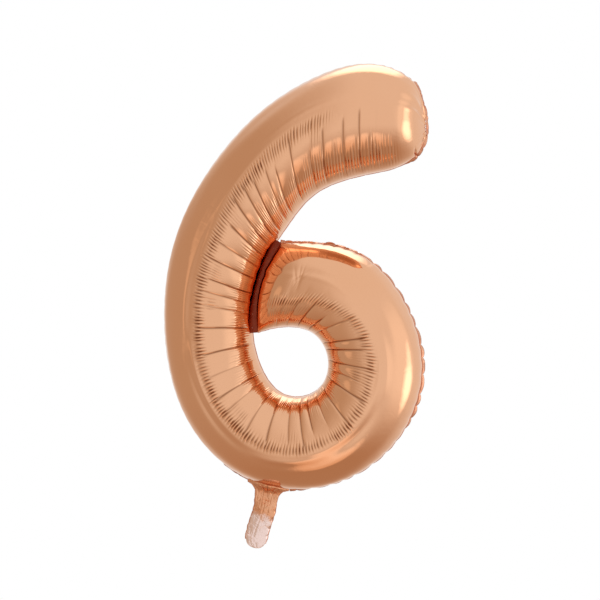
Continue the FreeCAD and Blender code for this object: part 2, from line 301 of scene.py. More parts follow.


# %% Heights of all folds
# Each function gives the height of its folds and how tightly they pinch the film, 0 to 1; the pinch is
# only a mask for painted shade in the valleys.
def tuck_folds(crest, x, v, tuck_line, pleat, through, rng, count):
    """The line of short tucks where the gathered film meets the smooth film."""
    here = between_ends(crest, *TUCK_ENDS)
    strength = rng.uniform(0.45, 1.0, count)[pleat]
    reach = TUCK_HALF * rng.uniform(0.65, 1.35, count)[pleat]
    facet, _ = folds(CREASES, x)
    group = rng.uniform(0.55, 1.0, len(CREASES))[facet]
    second = rng.uniform(-0.5, 0.5, len(CREASES)).clip(0)[facet]
    shape = group * np.exp(-np.abs((v - tuck_line) / reach) ** 4)
    shape = shape + second * np.exp(-np.abs((v - tuck_line - SECOND_ROW) / reach) ** 4)
    shape = here * strength * shape
    return TUCK_DEPTH * shape * (cusp(through, 0.8) - 0.55), 2.6 * shape * (1 - cusp(through, 0.55))


def pleat_folds(crest, v, pleat, through, rng, count):
    """Fine pleats on the inner flank, each with its own length."""
    here = between_ends(crest, *PLEAT_ENDS)
    starts = PLEAT_TURN + rng.uniform(0, 0.11, count)[pleat] + wobble(rng, crest, 0.10, 0.02)[:, None]
    hook = (smooth(0.07, 0.10, crest) * (1 - smooth(0.16, 0.30, crest)))[:, None]
    starts = starts - HOOK_PLEAT_SHIFT * hook
    ends = rng.uniform(0.79, 0.88, count)[pleat]
    shape = smooth(0, 0.05, v - starts) * (1 - 0.97 * smooth(0, 0.07, v - ends))
    shape = shape * here * rng.uniform(0.3, 1.0, count)[pleat]
    pinch = (0.25 + 0.45 * hook) * shape * (1 - cusp(through, 1.0))
    return PLEAT_DEPTH * (1 + hook) * shape * (cusp(through, 0.9) - 0.6), pinch


def crease_folds(crest, x, v, tuck_line, rng):
    """Sharp creases from the tucks to the inner seam, and the facets that bulge between them."""
    here = between_ends(crest, *CREASE_ENDS)
    fold, through = folds(CREASES, x)
    nearest = np.where(through < 0.5, fold, fold + 1)
    distance = np.abs(x - CREASES[nearest])
    depth = rng.uniform(0.35, 1.0, len(CREASES))[nearest]
    starts = tuck_line + (rng.uniform(0, 1, len(CREASES)) ** 2 * 0.16)[nearest] - 0.03
    line = depth * smooth(0, 0.04, v - starts) * (1 - 0.85 * smooth(0.84, 0.93, v))
    narrow = CREASE_HALF_WIDTH * (1.5 - 0.6 * v)
    valley = np.exp(-distance / narrow) + 0.30 * np.exp(-distance / (3.5 * narrow))
    belly = (cusp(through, 0.8) - 0.6) * smooth(0.45, 0.80, v) * (1 - smooth(0.82, 0.93, v))
    pinch = line * np.exp(-(distance / (1.3 * narrow)) ** 2)
    return here * (BELLY * belly - CREASE_DEPTH * line * valley), here * pinch


def slow_waves(crest, v, rng):
    """The pulled-smooth outside still shows slow waves along the tube."""
    height = 0
    for turn, size, spread in SLOW_WAVES:
        height = height + wobble(rng, crest, WAVE_PITCH, size)[:, None] * np.exp(-((v - turn) / spread) ** 2)
    return height


def all_folds(crest, turns, seed):
    """Heights above the smooth film and pinches, the mask for painted shade in the valleys, rows by columns.
    """
    rng = np.random.default_rng(seed)
    x, v = np.meshgrid(crest, turns, indexing="ij")
    facet, _ = folds(CREASES, x)
    tuck_line = TUCK_TURN + wobble(rng, crest, 0.13, 0.008)
    tuck_line = (tuck_line + TUCK_SHIFT * (1 - smooth(0.08, 0.34, CREST_LENGTH - crest)))[:, None]
    tuck_line = tuck_line + rng.uniform(-0.010, 0.010, len(CREASES))[facet]
    lean = wobble(rng, crest, 0.09, 0.010)[:, None]
    marks = uneven_marks(rng, 0, CREST_LENGTH, *PLEAT_PITCH)
    pleat, through = folds(marks, x + lean * (v - tuck_line))
    tucks, tuck_shade_mask = tuck_folds(crest, x, v, tuck_line, pleat, through, rng, len(marks))
    pleats, pleat_shade_mask = pleat_folds(crest, v, pleat, through, rng, len(marks))
    creases, crease_shade_mask = crease_folds(crest, x + 1.2 * lean * (1 - v), v, tuck_line, rng)
    # painted shade mask: the tightest of the three pinches darkens the base colour in the valleys
    pinch = np.maximum(np.maximum(tuck_shade_mask, pleat_shade_mask), crease_shade_mask)
    return tucks + pleats + creases + slow_waves(crest, v, rng), np.clip(pinch, 0, 1)


def pucker_heights(crest, turns):
    """Short folds that run from the seams into the film."""
    x, v = np.meshgrid(crest, turns, indexing="ij")
    _, outer = folds(OUTER_PUCKERS, x)
    _, inner = folds(CREASES, x)
    near_outer = np.exp(-v / PUCKER_REACH)
    near_inner = INNER_PUCKER * np.exp(-(1 - v) / INNER_PUCKER_REACH)
    height = -PUCKER_DEPTH * (1 - cusp(outer, 0.7)) * near_outer
    height -= PUCKER_DEPTH * (1 - cusp(inner, 0.7)) * near_inner
    return height


print("fold pitches, mm:", [round(1000 * p, 1) for p in PLEAT_PITCH + CREASE_PITCH + PUCKER_PITCH])

# %% [markdown]
# ## From a grid to a sheet of film
# Every film piece starts as a flat bmesh grid, and each of its points is then moved to its place, as cloth is
# pulled over a form. Two attributes, how far along and how far across the sheet a point is, stay on the mesh
# for the materials, and a third, pinch, is the mask for painted shade in the valleys of the folds.

# %% Make a sheet
def film_mesh(name, points, along, across, pinch=None):
    """A bmesh grid of rows by columns, moved onto an array of points."""
    rows, columns = points.shape[:2]
    pinch = np.zeros((rows, columns)) if pinch is None else pinch
    bm = bmesh.new()
    bmesh.ops.create_grid(bm, x_segments=columns - 1, y_segments=rows - 1, size=0.5)
    mesh = bpy.data.meshes.new(name)
    bm.to_mesh(mesh)
    bm.free()
    grid = np.empty(len(mesh.vertices) * 3)
    mesh.vertices.foreach_get("co", grid)
    grid = grid.reshape(-1, 3)
    column = np.rint((grid[:, 0] + 0.5) * (columns - 1)).astype(int)
    row = np.rint((grid[:, 1] + 0.5) * (rows - 1)).astype(int)
    mesh.vertices.foreach_set("co", points[row, column].ravel())
    for label, values in (("along", along[row]), ("across", across[column]), ("pinch", pinch[row, column])):
        layer = mesh.attributes.new(label, "FLOAT", "POINT")
        layer.data.foreach_set("value", values.astype(float))
    for polygon in mesh.polygons:
        polygon.use_smooth = True
    mesh.update()
    piece = bpy.data.objects.new(name, mesh)
    bpy.context.scene.collection.objects.link(piece)
    return piece


def face_away(piece, side):
    """Turn a sheet's faces so that most of them look along side * Y."""
    mesh = piece.data
    normals = np.empty(len(mesh.polygons) * 3)
    mesh.polygons.foreach_get("normal", normals)
    if np.sum(normals.reshape(-1, 3)[:, 1]) * side < 0:
        mesh.flip_normals()
    mesh.update()


# %% [markdown]
# ## The two film panels
# Front and back are cut alike, but they gather differently, so each has its own seed. The front also has a
# small crumple on the bowl, where it was pressed while it was folded flat.

# %% Front and back film
CRUMPLE_AT = Vector((0.066, -0.08, 0.380))
CRUMPLE_REACH = 0.016
CRUMPLE_DENTS = 5
DENT_DEPTH = 0.0011
DENT_WIDTH = 0.0016
TIP_MARKS = 13              # puckers that fan out from the top end
TIP_FOLD = 0.0026
TIP_REACH = 0.028
NOTCH_AT = 0.052            # the first deep pinch in the inner seam, along the crest
NOTCH_HALF = 0.0025
NOTCH_DEPTH = 0.005
END_KEEP = 0.012            # the folds fade out over this length at the bowl's end


def crumple(points):
    """A little star of dents round CRUMPLE_AT."""
    rng = np.random.default_rng(31)
    x = points[..., 0] - CRUMPLE_AT.x
    z = points[..., 2] - CRUMPLE_AT.z
    fade = np.exp(-(x * x + z * z) / CRUMPLE_REACH ** 2)
    height = np.zeros_like(x)
    for _ in range(CRUMPLE_DENTS):
        angle = rng.uniform(0, math.pi)
        shift = rng.uniform(-0.007, 0.007)
        distance = x * math.cos(angle) + z * math.sin(angle) - shift
        height -= DENT_DEPTH * np.exp(-np.abs(distance) / DENT_WIDTH)
    return height * fade


def tip_folds(crest, turns, seed):
    """Puckers that fan out from the closed top end."""
    rng = np.random.default_rng(seed)
    marks = np.linspace(0, 1, TIP_MARKS) + rng.uniform(-0.025, 0.025, TIP_MARKS)
    marks[0], marks[-1] = -0.01, 1.01
    _, through = folds(marks, turns)
    near = np.exp(-crest / TIP_REACH)
    notch = np.exp(-((crest - NOTCH_AT) / NOTCH_HALF) ** 2)
    pinch = NOTCH_DEPTH * np.outer(notch, smooth(0.78, 0.97, turns))
    return -TIP_FOLD * np.outer(near, 1 - cusp(through, 0.8)) - pinch


def film_points(side, seed):
    """Points of one panel, and its pinches: the mask for painted shade in the valleys of its folds."""
    points = film_surface(PLACE, TURN, side)
    normal = outward(points, side)
    height, pinch = all_folds(CREST, TURN, seed)
    height += pucker_heights(CREST, TURN) + tip_folds(CREST, TURN, seed + 5)
    if side < 0:
        height += crumple(points)
    keep = smooth(0, END_KEEP, CREST_LENGTH - CREST)[:, None]
    return points + normal * (height * keep)[..., None], pinch * keep


def join_at_seam(front, back):
    """Both films meet on the seam: share the mean of their border points."""
    for border in (np.s_[:, 0], np.s_[:, -1], np.s_[0, :], np.s_[-1, :]):
        middle = (front[border] + back[border]) / 2
        middle[:, 1] = 0
        front[border] = middle
        back[border] = middle
    return front, back


FRONT_POINTS, FRONT_SHADE_MASK = film_points(-1, 101)
BACK_POINTS, BACK_SHADE_MASK = film_points(1, 202)
FRONT_POINTS, BACK_POINTS = join_at_seam(FRONT_POINTS, BACK_POINTS)
film_front = film_mesh("film_front", FRONT_POINTS, CREST, TURN, FRONT_SHADE_MASK)
film_back = film_mesh("film_back", BACK_POINTS, CREST, TURN, BACK_SHADE_MASK)
face_away(film_front, -1)
face_away(film_back, 1)
for film, node in ((film_front, "front_panel"), (film_back, "back_panel")):
    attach(film, "balloon")
    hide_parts(node)
    print(film.name, len(film.data.polygons), "faces")

# %% [markdown]
# ## Sealed borders
# Outside the seam line the two films are fused into a flat strip. It is too long for the line it follows once
# the balloon is full, so it ruffles: each pucker pinches it, and between two puckers it stands out in a small
# scallop that also leans to the front or to the back.

# %% Ruffled strip
RUFFLE = 0.0014
STRIP_COLUMNS = 6
FUSED_THICKNESS = 0.0004
PINCHED_REACH = 0.55        # reach of the strip at a pucker, as a share of its width
LOBE_REACH = 0.50           # what a scallop adds to it
LOOSE_FOLD = (15, 80)       # a scallop leans back by this many degrees


def ruffled_strip(line, out, phase, width, seed, fold_back):
    """Points of a strip outside a line. phase counts puckers along it; fold_back is in radians."""
    rng = np.random.default_rng(seed)
    fold = np.floor(phase).astype(int)
    fold -= fold.min()
    lobe = cusp(phase, 0.55)
    lean = rng.choice([-1.0, 1.0], fold.max() + 1) * rng.uniform(0.4, 1.0, fold.max() + 1)
    full = rng.uniform(0.85, 1.15, fold.max() + 1)
    steps = np.linspace(0, 1, STRIP_COLUMNS)
    reach = width * (PINCHED_REACH + LOBE_REACH * lobe * full[fold])
    loose = np.radians(rng.uniform(*LOOSE_FOLD, fold.max() + 1))[fold] * lobe
    turn = np.maximum(fold_back, loose)[:, None] * np.minimum(1, steps * 3)
    step = np.diff(steps, prepend=0) * reach[:, None]
    points = line[:, None] + out[:, None] * np.cumsum(step * np.cos(turn), axis=1)[..., None]
    points[..., 1] += np.cumsum(step * np.sin(turn), axis=1)
    points[..., 1] += (RUFFLE * lean[fold] * lobe * np.cos(fold_back))[:, None] * steps ** 1.3
    return points


def away_from(line, inside):
    """In-plane directions square to a line, on the side away from the inside points."""
    along = unit(np.gradient(line, axis=0))
    out = np.stack([along[:, 2], np.zeros(len(line)), -along[:, 0]], axis=1)
    return out * np.sign(np.median(np.sum(out * (line - inside), axis=1)))


def fuse(piece):
    """A strip is two films fused together, so it has a thickness."""
    fused = piece.modifiers.new("two fused films", "SOLIDIFY")
    fused.thickness = FUSED_THICKNESS
    fused.offset = 0


def seam_strip(name, node, line, inside, phase, width, seed, fold_back):
    """One ruffled border piece, as an object that stands for a CAD seam."""
    points = ruffled_strip(line, away_from(line, inside), phase, width, seed, fold_back)
    distance = np.concatenate([[0], np.cumsum(np.linalg.norm(np.diff(line, axis=0), axis=1))])
    piece = film_mesh(name, points, distance, np.linspace(0, 1, STRIP_COLUMNS))
    fuse(piece)
    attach(piece, "balloon")
    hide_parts(node)
    print(name, "length", round(float(distance[-1]), 3))
    return piece


# %% Where each strip starts and stops
NECK_TILT = math.radians(12)
DOWN = np.array([-math.sin(NECK_TILT), 0, -math.cos(NECK_TILT)])
ACROSS = np.array([math.cos(NECK_TILT), 0, -math.sin(NECK_TILT)])
THROAT_HALF = 0.038
SEAM_WIDTH = 0.006
COUNTER_SEAM_WIDTH = 0.005

OUTER_LINE, OUTER_INSIDE = FRONT_POINTS[:, 0], FRONT_POINTS[:, 8]
INNER_LINE, INNER_INSIDE = FRONT_POINTS[:, -1], FRONT_POINTS[:, -9]
OUTER_PHASE = fold_phase(OUTER_PUCKERS, CREST)
INNER_PHASE = fold_phase(CREASES, CREST)


def row_nearest(line, target, first, last):
    """Row between two fractions of the tube whose point is nearest to the target."""
    first, last = int(first * ROWS), int(last * ROWS)
    return first + int(np.argmin(np.linalg.norm(line[first:last] - target, axis=1)))


CREASE_TOP = row_nearest(INNER_LINE, OUTER_LINE[-1], 0.15, 0.5)
CREASE_FOOT = row_nearest(INNER_LINE, INNER_LINE[-1], 0.2, 0.6)
ROOT = row_nearest(OUTER_LINE, np.zeros(3), 0.2, 0.9)
BESIDE_NECK = OUTER_LINE @ ACROSS
FLARE_LEFT = ROOT - int(np.argmax(BESIDE_NECK[ROOT::-1] < -THROAT_HALF))
FLARE_RIGHT = ROOT + int(np.argmax(BESIDE_NECK[ROOT:] > THROAT_HALF))
print("rows: crease", CREASE_TOP, CREASE_FOOT, "neck", FLARE_LEFT, ROOT, FLARE_RIGHT, "of", ROWS)

# %% The strips round the stem, the bowl and the counter
TIP_ROWS = 12
STEM_FOLD_BACK = math.radians(108)
COUNTER_FOLD_BACK = math.radians(78)
COUNTER_BORDER = 0.4 * COUNTER_SEAM_WIDTH
# round the bowl, from the neck to the crease: share of the way, and degrees folded back
BOWL_SHARES = (0, 0.04, 0.27, 0.33, 0.45, 0.52, 0.68, 0.76, 1)
BOWL_FOLDS = (0, 100, 100, 48, 48, 80, 74, 22, 12)

tip_line = OUTER_LINE[0] + np.linspace(1, 0, TIP_ROWS)[:, None] * (INNER_LINE[0] - OUTER_LINE[0])
stem_line = np.concatenate([INNER_LINE[CREASE_TOP:0:-1], tip_line, OUTER_LINE[1:FLARE_LEFT + 1]])
stem_inside = np.concatenate([INNER_INSIDE[CREASE_TOP:0:-1],
                              tip_line - np.array([0.02, 0, 0]), OUTER_INSIDE[1:FLARE_LEFT + 1]])
stem_phase = np.concatenate([-INNER_PHASE[CREASE_TOP:0:-1] - 2, np.linspace(-2, 0, TIP_ROWS),
                             OUTER_PHASE[1:FLARE_LEFT + 1]])
# along the stem the strip is folded back behind the film, except at the top end
from_tip = np.arange(len(stem_line)) - CREASE_TOP - TIP_ROWS / 2
outside, inside = from_tip / (FLARE_LEFT + 1), -from_tip / CREASE_TOP
stem_fold = STEM_FOLD_BACK * (smooth(0.05, 0.09, outside) * (1 - smooth(0.93, 0.99, outside))
                              + smooth(0.12, 0.24, inside))
stem_border = seam_strip("stem_border", "outer_seam", stem_line, stem_inside, stem_phase, SEAM_WIDTH, 41,
                         stem_fold)
bowl_rows = slice(FLARE_RIGHT, ROWS + 1)
round_bowl = np.linspace(0, 1, ROWS + 1 - FLARE_RIGHT)
bowl_fold = np.radians(np.interp(round_bowl, BOWL_SHARES, BOWL_FOLDS))
bowl_border = seam_strip("bowl_border", "bowl_seam", OUTER_LINE[bowl_rows], OUTER_INSIDE[bowl_rows],
                         OUTER_PHASE[bowl_rows], SEAM_WIDTH, 42, bowl_fold)
counter_rows = slice(CREASE_FOOT, ROWS - 4)
counter_line = INNER_LINE[counter_rows]
counter_border = seam_strip("counter_border", "counter_seam", counter_line, INNER_INSIDE[counter_rows],
                            INNER_PHASE[counter_rows], COUNTER_BORDER, 43,
                            np.full(len(counter_line), COUNTER_FOLD_BACK))

# %% [markdown]
# ## The neck
# Below the figure the two films run on as a flat tail, which the gas goes in through. It stays slack, so it
# is the most crumpled part: gathers fan down from the seam, cross creases show where it was folded over, and
# the closed end curls. Each ply is one sheet, from the seam line to the end, and bends across the fold line.

# %% Neck plies
NECK_LENGTH = 0.115
NECK_HALF = 0.020
NECK_END_HALF = 0.003       # half width left at the rounded end
NECK_END_ROUND = 0.020
FLARE_LENGTH = 0.006
NECK_ROWS = 150
NECK_COLUMNS = 72
TOP_TURN = 0.050            # how far up the panel the neck's film starts, in turns
VALVE_HALF_STACK = 0.0008
NECK_PUFF = 0.0044          # how far a ply stands off the valve when it is handled
LEAST_HALF = 0.0009         # a ply never comes nearer to the middle plane
GATHERS = ((5, 0.0006), (8, 0.0005), (13, 0.0003))    # waves over the half width, and height
GATHER_LENGTH = 0.035
NECK_CRUMPLES = 46
NECK_CRUMPLE_HEIGHT = 0.0011
NECK_CRUMPLE_WIDTH = 0.0013
SWAY = 0.0024
END_CURL = 0.010
EDGE_RUFFLE = 0.0014
NECK_SEED = 61


def neck_half_width(drop):
    """Half width of the neck at a distance below its root."""
    half = NECK_HALF + (THROAT_HALF - NECK_HALF) * np.exp(-np.maximum(drop, 0) / FLARE_LENGTH)
    into_end = np.clip((drop - NECK_LENGTH + NECK_END_ROUND) / NECK_END_ROUND, 0, 1)
    return NECK_END_HALF + (half - NECK_END_HALF) * np.sqrt(np.maximum(0, 1 - into_end ** 2))


def neck_top_edge(side, u):
    """The ply's top edge lies on the panel, a little above the seam line."""
    near = slice(FLARE_LEFT - 3, FLARE_RIGHT + 4)
    row = np.rint(np.interp(u * THROAT_HALF, BESIDE_NECK[near], np.arange(ROWS + 1)[near])).astype(int)
    columns = np.interp(TOP_TURN * np.sqrt(1 - u ** 2), TURN, np.arange(COLUMNS + 1))
    low = np.floor(columns).astype(int)
    part = (columns - low)[:, None]
    film = FRONT_POINTS if side < 0 else BACK_POINTS
    return film[row, low] * (1 - part) + film[row, np.minimum(low + 1, COLUMNS)] * part


def neck_crumples(rng, u, drop, edge):
    """Short dents and ridges in every direction, all over a ply."""
    height = 0
    for _ in range(NECK_CRUMPLES):
        at_drop, at_u = rng.uniform(0.022, 0.112), rng.uniform(-1, 1)
        angle, size = rng.uniform(0, math.pi), rng.uniform(0.006, 0.016)
        dx, dz = (u - at_u) * NECK_HALF, drop - at_drop
        across = dx * math.cos(angle) + dz * math.sin(angle)
        along = dz * math.cos(angle) - dx * math.sin(angle)
        ridge = np.exp(-np.abs(across) / NECK_CRUMPLE_WIDTH) * np.exp(-(along / size) ** 2)
        height = height + rng.uniform(-NECK_CRUMPLE_HEIGHT, NECK_CRUMPLE_HEIGHT) * ridge * edge
    return height


def neck_points(side):
    """Points of one ply, rows by columns, and how far below the neck root each of them is."""
    rng = np.random.default_rng(NECK_SEED)
    u = np.linspace(-1, 1, NECK_COLUMNS + 1)[None, :]
    r = (np.linspace(0, 1, NECK_ROWS + 1) ** 1.25)[:, None]
    edge = np.sqrt(np.maximum(0, 1 - u ** 2))
    top = neck_top_edge(side, u[0])
    top_drop = (top @ DOWN)[None, :]
    drop = top_drop + (NECK_LENGTH - top_drop) * r
    points = drop[..., None] * DOWN + (u * neck_half_width(drop))[..., None] * ACROSS
    start = 1 - smooth(0, 0.17, r)
    points[..., 0] += start * (top[:, 0] - points[0, :, 0])
    points[..., 2] += start * (top[:, 2] - points[0, :, 2])
    full = smooth(0.02, 0.040, drop) * closing(NECK_LENGTH - drop, NECK_END_ROUND)
    y = VALVE_HALF_STACK * np.minimum(1, edge * 3) + NECK_PUFF * full * (1 - u ** 2)
    y = y + start ** 1.5 * (top[:, 1] * side - y[0])
    gather = sum(height * np.cos(math.pi * (waves * u + rng.uniform(0, 2)) + 9 * r * rng.uniform(-1, 1))
                 for waves, height in GATHERS)
    y = y + gather * np.exp(-np.maximum(drop, 0) / GATHER_LENGTH) * edge * smooth(0, 0.05, r)
    y = y + neck_crumples(rng, u, drop, edge)
    y = np.maximum(y, LEAST_HALF * np.minimum(1, edge * 3))
    sway = SWAY * np.sin(drop / 0.019) * smooth(0.02, 0.05, drop)
    curl = END_CURL * smooth(0.080, 0.118, drop) ** 1.5
    ruffle = EDGE_RUFFLE * np.cos(drop / 0.0026 + 2 * u) * np.abs(u) ** 4 * smooth(0.02, 0.04, drop)
    points = points + sway[..., None] * ACROSS
    points[..., 1] = side * y - curl + ruffle
    return points, drop


neck_films = []
for name, side, nodes in (("neck_film_front", -1, ("throat_front", "neck_front")),
                          ("neck_film_back", 1, ("throat_back", "neck_back"))):
    points, drop = neck_points(side)
    ply = film_mesh(name, points, drop.mean(axis=1), np.linspace(0, 1, NECK_COLUMNS + 1))
    face_away(ply, side)
    neck_films.append(ply)
    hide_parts(*nodes)
    print(name, len(ply.data.polygons), "faces")

# %% [markdown]
# ## The neck's sealed sides
# The plies are fused down both sides, which leaves a passage only as wide as the valve. Each side is a narrow
# strip that stands just outside the plies, ruffled like the other borders.

# %% Neck borders
NECK_STRIP_SHARE = 0.93     # share of the neck's rows that the strips go down
NECK_STRIP_HALF = 0.0013
NECK_STRIP_PITCH = 0.013


def neck_side_strip(side, name, nodes):
    """The strip outside one side of the plies, down to where the end rounds off."""
    points, drop = neck_points(-1)
    column = 0 if side < 0 else -1
    edge = points[:, column].copy()
    back, _ = neck_points(1)
    edge[:, 1] = (edge[:, 1] + back[:, column][:, 1]) / 2
    count = int(NECK_ROWS * NECK_STRIP_SHARE)
    edge = edge[:count]
    out = away_from(edge, edge - side * 0.01 * ACROSS)
    steps = np.linspace(-1, 1, STRIP_COLUMNS)
    distance = np.concatenate([[0], np.cumsum(np.linalg.norm(np.diff(edge, axis=0), axis=1))])
    reach = NECK_STRIP_HALF * (0.7 + 0.5 * cusp(distance / NECK_STRIP_PITCH, 0.6))
    strip = edge[:, None] + out[:, None] * (reach[:, None] * steps)[..., None]
    piece = film_mesh(name, strip, drop[:count].mean(axis=1), np.linspace(0, 1, STRIP_COLUMNS))
    fuse(piece)
    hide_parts(*nodes)
    return piece


neck_borders = [
    neck_side_strip(-1, "neck_border_left", ("throat_seal_left", "neck_seal_left")),
    neck_side_strip(1, "neck_border_right", ("throat_seal_right", "neck_seal_right")),
]
for piece in neck_films + neck_borders:
    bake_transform(piece)

# %% [markdown]
# ## Effects that the finishes share
# Three effects come back in several finishes, so each is one node group: the fine crinkle that thin film
# keeps after it was folded, the smudges and dust that dull a mirror, and the slow change of tone of a
# vapour-coated film.

# %% Node helpers
def new_group(name, inputs, outputs):
    """A node group with named sockets. Each item is (name, socket type, default)."""
    group = bpy.data.node_groups.new(name, "ShaderNodeTree")
    for label, kind, value in inputs:
        socket = group.interface.new_socket(label, in_out="INPUT", socket_type=kind)
        if value is not None:
            socket.default_value = value
    for label, kind in outputs:
        group.interface.new_socket(label, in_out="OUTPUT", socket_type=kind)
    return group, group.nodes.new("NodeGroupInput"), group.nodes.new("NodeGroupOutput")


def add(tree, kind, values=None, **settings):
    """A new node, with its settings and its input values."""
    node = tree.nodes.new(kind)
    for key, value in settings.items():
        setattr(node, key, value)
    for key, value in (values or {}).items():
        node.inputs[key].default_value = value
    return node


def math_node(tree, operation, a, b=None):
    node = add(tree, "ShaderNodeMath", operation=operation)
    for k, value in enumerate((a, b)):
        if value is None:
            continue
        if isinstance(value, (int, float)):
            node.inputs[k].default_value = value
        else:
            tree.links.new(value, node.inputs[k])
    return node.outputs[0]


# %% Film crinkle
def film_crinkle_group():
    """Height of fine facets and hairline folds, for a Bump node."""
    group, given, made = new_group(
        "film crinkle",
        [("Vector", "NodeSocketVector", None), ("Facet size", "NodeSocketFloat", 90.0),
         ("Hairlines", "NodeSocketFloat", 0.5)],
        [("Height", "NodeSocketFloat")])
    links = group.links
    warp = add(group, "ShaderNodeTexNoise", {"Scale": 14.0, "Detail": 2.0})
    links.new(given.outputs["Vector"], warp.inputs["Vector"])
    bent = add(group, "ShaderNodeVectorMath", operation="MULTIPLY_ADD")
    bent.inputs[1].default_value = (0.02, 0.02, 0.02)
    links.new(warp.outputs["Color"], bent.inputs[0])
    links.new(given.outputs["Vector"], bent.inputs[2])
    facets = add(group, "ShaderNodeTexVoronoi", feature="SMOOTH_F1")
    facets.inputs["Smoothness"].default_value = 0.35
    links.new(bent.outputs[0], facets.inputs["Vector"])
    links.new(given.outputs["Facet size"], facets.inputs["Scale"])
    lines = add(group, "ShaderNodeTexVoronoi", feature="DISTANCE_TO_EDGE")
    links.new(bent.outputs[0], lines.inputs["Vector"])
    half_size = math_node(group, "MULTIPLY", given.outputs["Facet size"], 0.45)
    links.new(half_size, lines.inputs["Scale"])
    hair = math_node(group, "MINIMUM", math_node(group, "MULTIPLY", lines.outputs["Distance"], 9.0), 1.0)
    hair = math_node(group, "MULTIPLY", hair, given.outputs["Hairlines"])
    links.new(math_node(group, "ADD", facets.outputs["Distance"], hair), made.inputs["Height"])
    return group


# %% Smudges and dust
def smudge_group():
    """Where hands and dust have dulled the film: 0 clean, 1 dull."""
    group, given, made = new_group(
        "smudges",
        [("Vector", "NodeSocketVector", None), ("Smudge size", "NodeSocketFloat", 9.0),
         ("Dust", "NodeSocketFloat", 0.3)],
        [("Dull", "NodeSocketFloat")])
    links = group.links
    smudge = add(group, "ShaderNodeTexNoise", {"Detail": 5.0, "Roughness": 0.62, "Distortion": 0.6})
    links.new(given.outputs["Vector"], smudge.inputs["Vector"])
    links.new(given.outputs["Smudge size"], smudge.inputs["Scale"])
    patches = add(group, "ShaderNodeMapRange", {"From Min": 0.50, "From Max": 0.78})
    links.new(smudge.outputs["Fac"], patches.inputs["Value"])
    specks = add(group, "ShaderNodeTexNoise", {"Scale": 900.0, "Detail": 1.0})
    links.new(given.outputs["Vector"], specks.inputs["Vector"])
    dust = add(group, "ShaderNodeMapRange", {"From Min": 0.66, "From Max": 0.72})
    links.new(specks.outputs["Fac"], dust.inputs["Value"])
    dusty = math_node(group, "MULTIPLY", dust.outputs[0], given.outputs["Dust"])
    links.new(math_node(group, "MAXIMUM", patches.outputs[0], dusty), made.inputs["Dull"])
    return group


# %% Tone of the coating
def coating_group():
    """Blend of two tones, by slow clouds of coating thickness."""
    group, given, made = new_group(
        "coating tone",
        [("Vector", "NodeSocketVector", None), ("Thin", "NodeSocketColor", (1, 1, 1, 1)),
         ("Thick", "NodeSocketColor", (1, 1, 1, 1)), ("Cloud size", "NodeSocketFloat", 5.0)],
        [("Color", "NodeSocketColor"), ("Thickness", "NodeSocketFloat")])
    links = group.links
    cloud = add(group, "ShaderNodeTexNoise", {"Detail": 3.0, "Roughness": 0.5})
    links.new(given.outputs["Vector"], cloud.inputs["Vector"])
    links.new(given.outputs["Cloud size"], cloud.inputs["Scale"])
    mix = add(group, "ShaderNodeMix", data_type="RGBA")
    links.new(cloud.outputs["Fac"], mix.inputs[0])
    links.new(given.outputs["Thin"], mix.inputs[6])
    links.new(given.outputs["Thick"], mix.inputs[7])
    links.new(mix.outputs[2], made.inputs["Color"])
    links.new(cloud.outputs["Fac"], made.inputs["Thickness"])
    return group


CRINKLE, SMUDGES, COATING = film_crinkle_group(), smudge_group(), coating_group()
print("groups:", [g.name for g in bpy.data.node_groups])


# %% Place a group in a material
def use_group(tree, group, place, **values):
    """A shared effect in a material, with its inputs set by name."""
    node = add(tree, "ShaderNodeGroup", node_tree=group)
    tree.links.new(place, node.inputs["Vector"])
    for key, value in values.items():
        node.inputs[key.replace("_", " ")].default_value = value
    return node


def bump(tree, shader, height, strength, distance):
    """Relief that is finer than the modelled folds."""
    node = add(tree, "ShaderNodeBump", {"Strength": strength, "Distance": distance})
    tree.links.new(height, node.inputs["Height"])
    tree.links.new(node.outputs["Normal"], shader.inputs["Normal"])
    return node


def span(tree, value, low, high):
    """A 0 to 1 value spread between low and high."""
    node = add(tree, "ShaderNodeMapRange", {"To Min": low, "To Max": high})
    tree.links.new(value, node.inputs["Value"])
    return node.outputs[0]


def film_finish(name, tones, cloud_size, smudges, roughness, crinkle, relief):
    """What every finish here shares: its tone, its smudges and its crinkle.

    smudges: their size and the amount of dust. roughness: clean and dull. crinkle: facet size and hairlines.
    relief: strength and distance. Returns the material, its tree and shader, and the three group nodes.
    """
    finish = bpy.data.materials.new(name)
    finish.use_nodes = True
    tree = finish.node_tree
    shader = tree.nodes["Principled BSDF"]
    place = tree.nodes.new("ShaderNodeTexCoord").outputs["Object"]
    tone = use_group(tree, COATING, place, Thin=tones[0], Thick=tones[1], Cloud_size=cloud_size)
    tree.links.new(tone.outputs["Color"], shader.inputs["Base Color"])
    dull = use_group(tree, SMUDGES, place, Smudge_size=smudges[0], Dust=smudges[1])
    tree.links.new(span(tree, dull.outputs["Dull"], *roughness), shader.inputs["Roughness"])
    folded = use_group(tree, CRINKLE, place, Facet_size=crinkle[0], Hairlines=crinkle[1])
    bump(tree, shader, folded.outputs["Height"], *relief)
    return finish, tree, shader, tone, dull, folded


# %% [markdown]
# ## Rose-gold film
# The film is nylon with a thin layer of aluminium, printed with a transparent copper ink. It is a mirror that
# tints what it reflects, so a metal with a warm base colour does it: two reflections tint twice, which is why
# the counter and the crease glow orange. Bump carries only what is finer than the modelled folds. The valleys
# of sharp folds get painted shade, a darker base colour where the attribute pinch is high.

# %% Rose-gold film material
ROSE_THIN = (0.875, 0.495, 0.305, 1)
ROSE_THICK = (0.835, 0.440, 0.245, 1)
# painted shade: the dark tone that the valleys of sharp folds are painted with
VALLEY_SHADE_TONE = (0.25, 0.095, 0.040, 1)     # in the valley of a sharp fold


